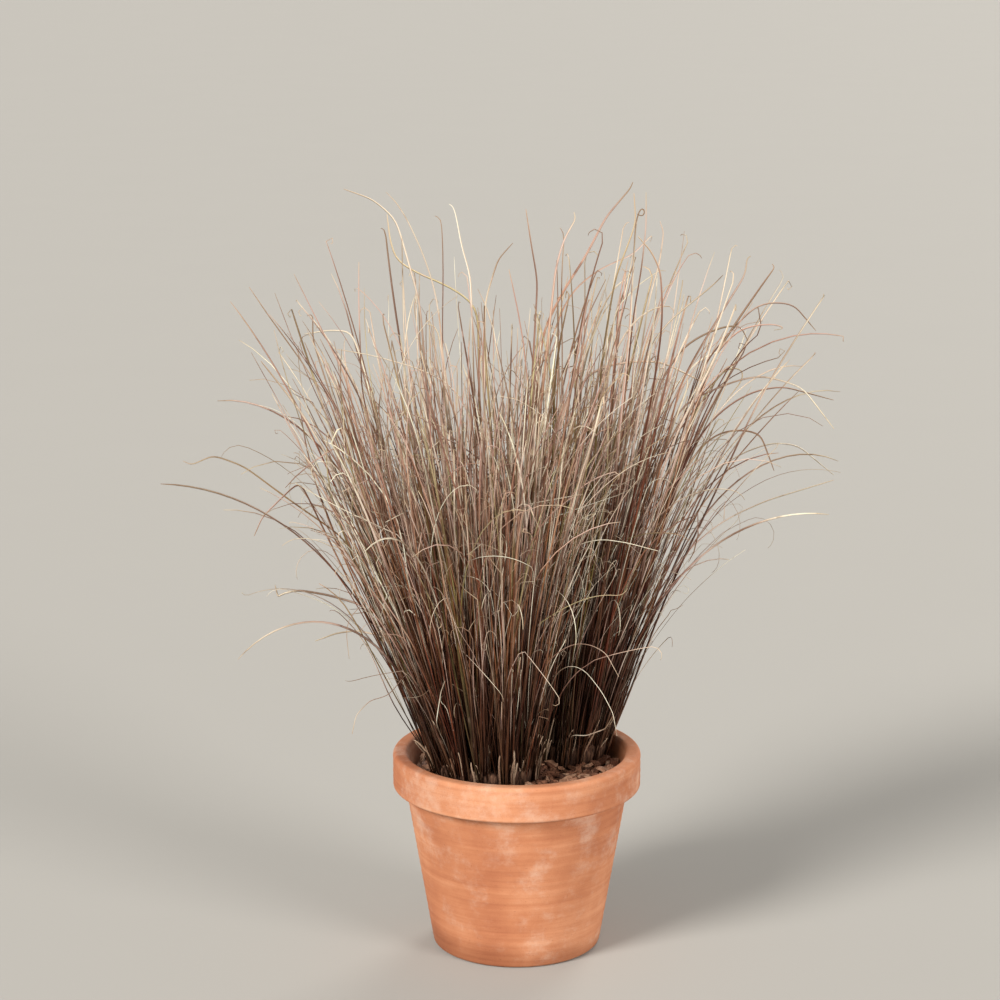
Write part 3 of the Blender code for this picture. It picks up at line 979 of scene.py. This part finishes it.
# %% [markdown]
# A dozen leaves arch well clear of the rest and set how wide the plant is. The solids have each of them
# as a thin rod. The strips here follow the same lines: the tilt grows from the crown's own slope to the
# tip's as a power of the share, so a late leaf stays upright for longer before it goes over.

# %% Leaves that arch clear
LEAF_EDGE = 0.965
ARCH_STEPS = 30
ARCH_WIDTH = (0.0024, 0.0030)
ARCH_TIP = 0.0006
ARCH_TWIST = 1.2
ARCH_FAMILIES = (2, 2, 1, 4, 4)
# For each leaf, its crown, its compass angle, its length, the tilt of its tip, and how late it bends.
ARCHING_LEAVES = {
    "right_arching_leaf_high": ("back", 10, 0.540, 104, 3.6),
    "right_arching_leaf_middle": ("back", -18, 0.480, 118, 3.4),
    "right_arching_leaf_low": ("back", -48, 0.420, 96, 1.9),
    "right_arching_leaf_behind": ("back", 44, 0.565, 104, 3.4),
    "left_arching_leaf_high": ("front", 172, 0.585, 36, 2.4),
    "left_arching_leaf_middle": ("front", 194, 0.505, 84, 1.8),
    "left_arching_leaf_low": ("front", 218, 0.395, 128, 1.8),
    "left_arching_leaf_behind": ("front", 146, 0.525, 100, 3.3),
    "front_arching_leaf_left": ("front", 254, 0.460, 106, 3.0),
    "front_arching_leaf_right": ("front", 292, 0.485, 104, 3.4),
    "back_arching_leaf_left": ("back", 114, 0.470, 104, 2.6),
    "back_arching_leaf_right": ("back", 78, 0.555, 98, 3.3),
}


def arching_lines(crowns, compass, length, tip_tilt, late, rng):
    """Lines from the roots to the crown's dome, and over from there by each leaf's own bend."""
    centre, spread = (np.array([crown[key] for crown in crowns]) for key in ("centre", "spread"))
    radius = LEAF_EDGE * np.array([[crown["radius"]] for crown in crowns])
    place = centre + radius * headings(np.radians(compass))
    tilt = fan_tilt(spread, place)
    start = lengths(tilt)
    reach = np.hypot(np.linalg.norm(centre - spread, axis=1), SPREAD_DEPTH) + CROWN_HEIGHT + GAP
    feet = np.insert(spread, 2, SOIL_TOP - SPREAD_DEPTH, axis=1) + reach[:, None] * ways(tilt)
    bend = tilt / start * (np.radians(tip_tilt)[:, None] - start)
    grown = {"feet": feet, "lean": tilt, "bend": bend, "late": late, "length": length}
    grown.update(dict.fromkeys(("curl", "kink", "sway"), 0 * tilt))
    grown.update(dict.fromkeys(("curl_start", "kink_at"), 0 * late))
    over = leaf_lines(shares_along(ARCH_STEPS, 1), grown, rng)
    return np.concatenate([np.insert(place, 2, ROOT_LEVEL, axis=1)[:, None], over], axis=1)


rng = np.random.default_rng(31)
arch_crowns = [CROWNS[row[0]] for row in ARCHING_LEAVES.values()]
arch_numbers = np.array([row[1:] for row in ARCHING_LEAVES.values()]).T
lines = arching_lines(arch_crowns, *arch_numbers, rng)
shares = shares_along(ARCH_STEPS + 1, 1)
base = rng.uniform(*ARCH_WIDTH, len(lines))
tones = leaf_numbers(rng.random(len(lines)), ARCH_FAMILIES)
arching = leaf_strips("arching_leaves", lines, shares, base, ARCH_TIP, tones, ARCH_TWIST, rng)
settle(arching, leaf, list(ARCHING_LEAVES))

# %% [markdown]
# Some fifty leaves stand above, beside and before the rest and draw this very plant's outline. Each is
# given by a few pixels that it passes through, read off the picture, and by how far to the front or back
# its tip lies. A softened line goes from its foot in a crown through those places, and its depth grows
# along it, so it stands in the tuft from every side.

# %% Leaves placed by the picture
# Each row is one leaf: x and y of a few pixels in turn, from where it leaves the tuft to its tip.
LEFT_LEAVES = (
    (345, 535, 283, 492, 240, 460, 209, 449, 187, 459, 178, 455),
    (315, 381, 294, 351, 268, 315, 249, 287),
    (313, 340, 313, 315, 310, 314, 307, 316),
    (362, 360, 351, 331, 330, 330, 304, 334),
    (362, 392, 359, 302, 359, 262),
    (404, 336, 402, 236),
    (366, 606, 328, 595, 298, 590, 281, 594, 278, 598, 275, 585),
    (300, 480, 279, 500, 262, 517, 254, 536),
    (392, 600, 381, 636, 358, 630, 336, 633, 315, 641),
    (345, 375, 330, 346, 312, 310, 294, 274),
    (330, 460, 305, 418, 289, 396, 270, 372, 261, 361),
    (470, 410, 449, 383, 418, 368, 371, 355, 336, 349),
)
TOP_LEAVES = (
    (441, 326, 434, 285, 422, 251, 407, 219, 396, 202, 386, 192),
    (420, 300, 396, 216, 372, 196, 343, 186),
    (478, 305, 449, 286, 415, 272, 396, 260, 390, 240, 387, 214),
    (471, 277, 462, 247, 456, 215, 453, 206, 449, 204),
    (485, 302, 498, 260, 513, 243),
    (538, 281, 532, 247, 526, 209),
    (556, 268, 564, 240, 576, 219, 574, 212),
    (543, 330, 564, 290, 585, 258, 606, 217, 630, 189, 633, 182),
    (602, 358, 609, 315, 615, 279, 628, 245, 636, 223, 634, 193),
    (634, 311, 641, 272, 646, 228, 646, 192),
    (645, 328, 649, 302, 660, 262, 664, 232, 660, 221),
    (546, 355, 564, 305, 577, 286, 602, 268, 633, 255, 653, 234, 650, 242),
    (655, 380, 661, 340, 663, 310, 661, 271, 652, 252, 638, 236),
    (615, 309, 638, 285, 660, 270, 666, 271),
    (630, 330, 634, 260, 636, 222, 641, 206, 646, 210, 643, 217, 637, 214),
)
RIGHT_LEAVES = (
    (681, 383, 702, 345, 724, 309, 745, 275, 747, 258, 751, 256),
    (702, 392, 713, 358, 741, 315, 762, 285, 775, 267, 772, 264),
    (700, 370, 726, 336, 756, 305, 777, 302, 794, 305, 816, 331),
    (709, 364, 721, 347, 738, 330, 756, 325, 775, 324, 785, 328, 774, 330),
    (660, 381, 683, 347, 704, 334, 726, 326, 741, 326, 748, 341),
    (650, 345, 670, 320, 692, 302, 713, 285, 723, 275),
    (579, 381, 602, 366, 638, 361, 662, 362, 685, 373, 704, 383),
    (690, 420, 709, 390, 726, 368, 743, 368, 743, 379, 726, 401),
    (670, 500, 692, 447, 709, 422, 732, 402, 756, 390, 783, 386, 834, 400),
    (665, 440, 681, 404, 709, 392, 734, 381, 762, 375, 802, 387, 834, 429),
    (670, 530, 692, 492, 717, 468, 745, 451, 773, 442, 798, 445, 834, 475),
    (680, 480, 702, 445, 721, 432, 743, 430, 760, 434, 774, 471),
    (628, 632, 660, 590, 687, 551, 713, 528, 734, 515, 768, 500, 834, 480),
)
FRONT_LEAVES = (
    (547, 662, 562, 649, 577, 643, 592, 645, 606, 653, 619, 677),
    (556, 672, 570, 664, 585, 670, 602, 692, 613, 713, 617, 736),
    (543, 574, 560, 557, 581, 543, 602, 539, 628, 543, 658, 551),
    (430, 680, 411, 668, 388, 696, 370, 700, 356, 715, 352, 734),
    (445, 760, 444, 741, 436, 724, 441, 692, 445, 681),
    (483, 549, 496, 524, 511, 508, 533, 503, 583, 494),
    (575, 480, 558, 436, 542, 414, 517, 399, 499, 396),
    (571, 735, 586, 736, 605, 729, 613, 716),
)
OUTLINE_FAMILIES = (3, 1, 2, 8, 4)
FRONT_FAMILIES = (0, 0, 0, 2, 7)
# For each group, its leaves, the range of their tips' depths, their foot's width, and their families.
PHOTO_GROUPS = (
    (LEFT_LEAVES, (-0.10, 0.10), 0.0031, OUTLINE_FAMILIES),
    (TOP_LEAVES, (-0.13, 0.15), 0.0034, OUTLINE_FAMILIES),
    (RIGHT_LEAVES, (-0.06, 0.17), 0.0033, OUTLINE_FAMILIES),
    (FRONT_LEAVES, (-0.160, -0.120), 0.0013, FRONT_FAMILIES),
)
PARTING_COLUMN = 560
FOOT_ROW = 775
FOOT_REACH = 0.22
FOOT_MOST = 0.7
FOOT_ASTRAY = 0.12
STRAIGHT_KNOTS = np.array([[0.0], [0.35], [0.72]])
SOFTENING = 4
PHOTO_STEPS = 64
PHOTO_CROWDING = 2.0
PHOTO_WIDTHS = (0.70, 1.10)
PHOTO_TIP = 0.0006
PHOTO_TWIST = 1.5
PAST_BOX = 0.004


def photo_line(row, tip_depth, shares, rng):
    """One leaf from its foot in the nearer crown through its pixels, its depth growing with the way gone.

    Its foot lies off the crown's middle to the side that the leaf goes to. The line is read at shares of
    its length off the straight runs between its knots, and then softened: a few times over, each point
    becomes the mean of itself and of its two neighbours' middle.
    """
    pixels = np.array(row, float).reshape(-1, 2)
    crown = CROWNS["back" if pixels[0, 0] > PARTING_COLUMN else "front"]
    side = from_photo(pixels[:1], np.zeros(1))[0, 0]
    toward = (np.array((side, tip_depth)) - crown["centre"]) / FOOT_REACH
    toward = np.clip(toward, -FOOT_MOST, FOOT_MOST) + rng.normal(0, FOOT_ASTRAY, 2)
    place = crown["centre"] + crown["radius"] * toward
    foot = np.array((*place, ROOT_LEVEL))
    from_foot = np.concatenate([[(pixels[0, 0], FOOT_ROW)], pixels])
    gone = np.linalg.norm(np.diff(from_foot, axis=0), axis=1).cumsum()
    seen = from_photo(pixels, place[1] + (tip_depth - place[1]) * gone / gone[-1])
    knots = np.concatenate([foot + STRAIGHT_KNOTS * (seen[0] - foot), seen])
    way = np.linalg.norm(np.diff(knots, axis=0, prepend=knots[:1]), axis=1).cumsum()
    line = np.stack([np.interp(shares * way[-1], way, knots[:, axis]) for axis in range(3)], axis=1)
    for _ in range(SOFTENING):
        line[1:-1] = line[1:-1] / 2 + (line[:-2] + line[2:]) / 4
    return line


rng = np.random.default_rng(51)
shares = shares_along(PHOTO_STEPS, PHOTO_CROWDING)
lines, tones, base = [], [], []
for rows, depths, widest, families in PHOTO_GROUPS:
    for row in rows:
        lines.append(photo_line(row, rng.uniform(*depths), shares, rng))
        tones.append(leaf_numbers(rng.random(), families))
        base.append(widest * rng.uniform(*PHOTO_WIDTHS))
lines, tones, base = np.array(lines), np.array(tones), np.array(base)
lines = keep_inside(lines, -PAST_BOX)
placed = leaf_strips("outline_leaves", lines, shares, base, PHOTO_TIP, tones, PHOTO_TWIST, rng)
settle(placed, leaf, [])

# %% [markdown]
# The bark on the soil is a layer of loose chips, flat splinters a thumbnail or two long, red-brown with
# some dark and some pale faces. A particle system could scatter one chip, but repeats would show. Here
# one squared-off ball, a grid of two angles, gets a new size, noise, turn and place for every chip, and
# chips that would stick through the pot's wall are pressed in against it.

# %% Bark chips
CHIPS = 520
CHIP_TRIES = 9 * CHIPS
CHIP_TURNS = 8
CHIP_RINGS = 4
CHIP_SIZES = ((0.009, 0.028), (0.005, 0.014), (0.0022, 0.0050))
CHIP_LEVELS = (0.2062, 0.2150)
CHIP_SHARP = math.radians(36)
CHIP_POLE = 0.86
# Powers below 1, which square the ball off: from pole to pole, at its ends, its sides and its faces.
CHIP_SQUARING = (0.35, 0.75, 0.55, 0.5)
CHIP_WEDGE = 0.10
CHIP_ROUGH = 0.13
CHIP_NARROWS = 0.32
CHIP_WARP = 0.25
CHIP_TIPS = 0.28
WALL_CLEAR = 0.0012
FREE_OF_WALL = 0.005
ALONG_WALL = 0.014
GRAIN_PER_METRE = 100
GRAIN_APART = 40


def chip_places(rng):
    """Places on the soil between the pot's wall and the crowns, drawn too many and then thinned out."""
    out = pot_inside(SOIL_TOP) * np.sqrt(rng.random(CHIP_TRIES)) - FREE_OF_WALL
    place = out[:, None] * headings(rng.uniform(0, 2 * math.pi, CHIP_TRIES))
    free = [np.linalg.norm(place - crown["centre"], axis=1) > crown["radius"] for crown in CROWNS.values()]
    return place[np.all(free, axis=0)][:CHIPS]


def squared(values, power):
    """Sines or cosines to a power below 1 with their signs kept, which squares a circle off."""
    return np.sign(values) * np.abs(values) ** power


def chip_ball():
    """A squared-off ball of two angles, from its top pole down, with the two poles last."""
    turn = np.linspace(0, 2 * math.pi, CHIP_TURNS, endpoint=False)
    rise = np.linspace(math.pi / 2, -math.pi / 2, CHIP_RINGS + 2)[1:-1, None]
    waves = (np.cos(rise), np.cos(turn), np.sin(turn), np.sin(rise))
    out, x, y, z = (squared(wave, power) for wave, power in zip(waves, CHIP_SQUARING))
    grid = np.dstack([out * x, out * y, z + 0 * turn])
    return np.concatenate([grid.reshape(-1, 3), [(0, 0, CHIP_POLE), (0, 0, -CHIP_POLE)]])


def chip_points(ball, place, rng):
    """The ball for every chip, as a chip in its own axes and as the same chip in the pot.

    In its own axes it is stretched to a size, narrowed to one end and roughened. In the pot its third
    axis is nearly upright, and the first lies along a heading, or along the wall where that is near.
    """
    size = np.stack([rng.uniform(*span, CHIPS) / 2 for span in CHIP_SIZES], axis=1)
    local = ball * size[:, None] * rng.normal(1, CHIP_ROUGH, (CHIPS, len(ball), 1))
    lop = rng.normal(0, CHIP_NARROWS, (CHIPS, 1)) * ball[:, 0]
    local[..., 1] *= 1 + lop
    local[..., 2] += size[:, 2:] * rng.normal(0, CHIP_WARP, (CHIPS, len(ball)))
    local[..., 2] += size[:, :1] * CHIP_WEDGE * lop
    near_wall = np.linalg.norm(place, axis=1) > pot_inside(SOIL_TOP) - ALONG_WALL
    along_wall = np.arctan2(place[:, 1], place[:, 0]) + math.pi / 2
    heading = np.where(near_wall, along_wall, rng.uniform(0, 2 * math.pi, CHIPS))
    up = unit(np.column_stack([rng.normal(0, CHIP_TIPS, (CHIPS, 2)), np.ones(CHIPS)]))
    along = unit(np.cross(np.column_stack([-np.sin(heading), np.cos(heading), 0 * heading]), up))
    axes = np.stack([along, np.cross(up, along), up], axis=1)
    middle = np.column_stack([place, rng.uniform(*CHIP_LEVELS, CHIPS)])
    points = local @ axes + middle[:, None]
    points[..., 2] = np.maximum(points[..., 2], SOIL_TOP + GAP)
    most = pot_inside(points[..., 2:]) - WALL_CLEAR
    points[..., :2] *= np.minimum(1, most / lengths(points[..., :2]))
    return local, points


rng = np.random.default_rng(71)
ball = chip_ball()
local, points = chip_points(ball, chip_places(rng), rng)
first = np.arange(CHIPS)[:, None, None] * len(ball)
quads, fans = (faces + first for faces in round_faces(CHIP_RINGS, CHIP_TURNS))
chips = new_piece("bark_chips", points.reshape(-1, 3), quads.reshape(-1, 4), fans.reshape(-1, 3))
corners = np.concatenate([quads.ravel(), fans.ravel()])
own_pair = rng.random((CHIPS, 2))
grain = local[..., :2] * GRAIN_PER_METRE + own_pair[:, None] * GRAIN_APART
add_map(chips, "chip", own_pair[corners // len(ball)])
add_map(chips, "grain", grain.reshape(-1, 2)[corners])
chips.data.set_sharp_from_angle(angle=CHIP_SHARP)
print("chips:", CHIPS, "of", len(ball), "points each")

# %% [markdown]
# Bark is red-brown inside and grey-brown outside, and each chip shows one or the other, so the chip's own
# number runs along a ramp from nearly black to pale. Its grain runs along the chip, as dark fine lines.

# %% Bark finish
BARK_STOPS = (
    (0.05, (0.050, 0.022, 0.014)), (0.30, (0.145, 0.056, 0.030)), (0.55, (0.270, 0.120, 0.068)),
    (0.78, (0.400, 0.215, 0.135)), (0.97, (0.560, 0.395, 0.280)),
)
BARK_LINE = (0.42, 0.36, 0.33)

bark = Finish("bark", {"Specular IOR Level": 0.3})
fine_lines = bark.noise(bark.uv("grain"), (1.1, 9.0, 1.0), 5.0, 0.65)
age = bark.part_of(bark.uv("chip"), 0) * 0.72 + bark.noise(bark.place(), 160.0, 4.0) * 0.35
colour = bark.ramp(age - 0.04, BARK_STOPS)
bark.feed("Base Color", bark.tint(bark.rise(fine_lines, 0.52, 0.36), colour, BARK_LINE))
bark.feed("Roughness", 0.72 + fine_lines * 0.2)
bark.bump(fine_lines, 0.0016)
settle(chips, bark, ["bark_mulch"])
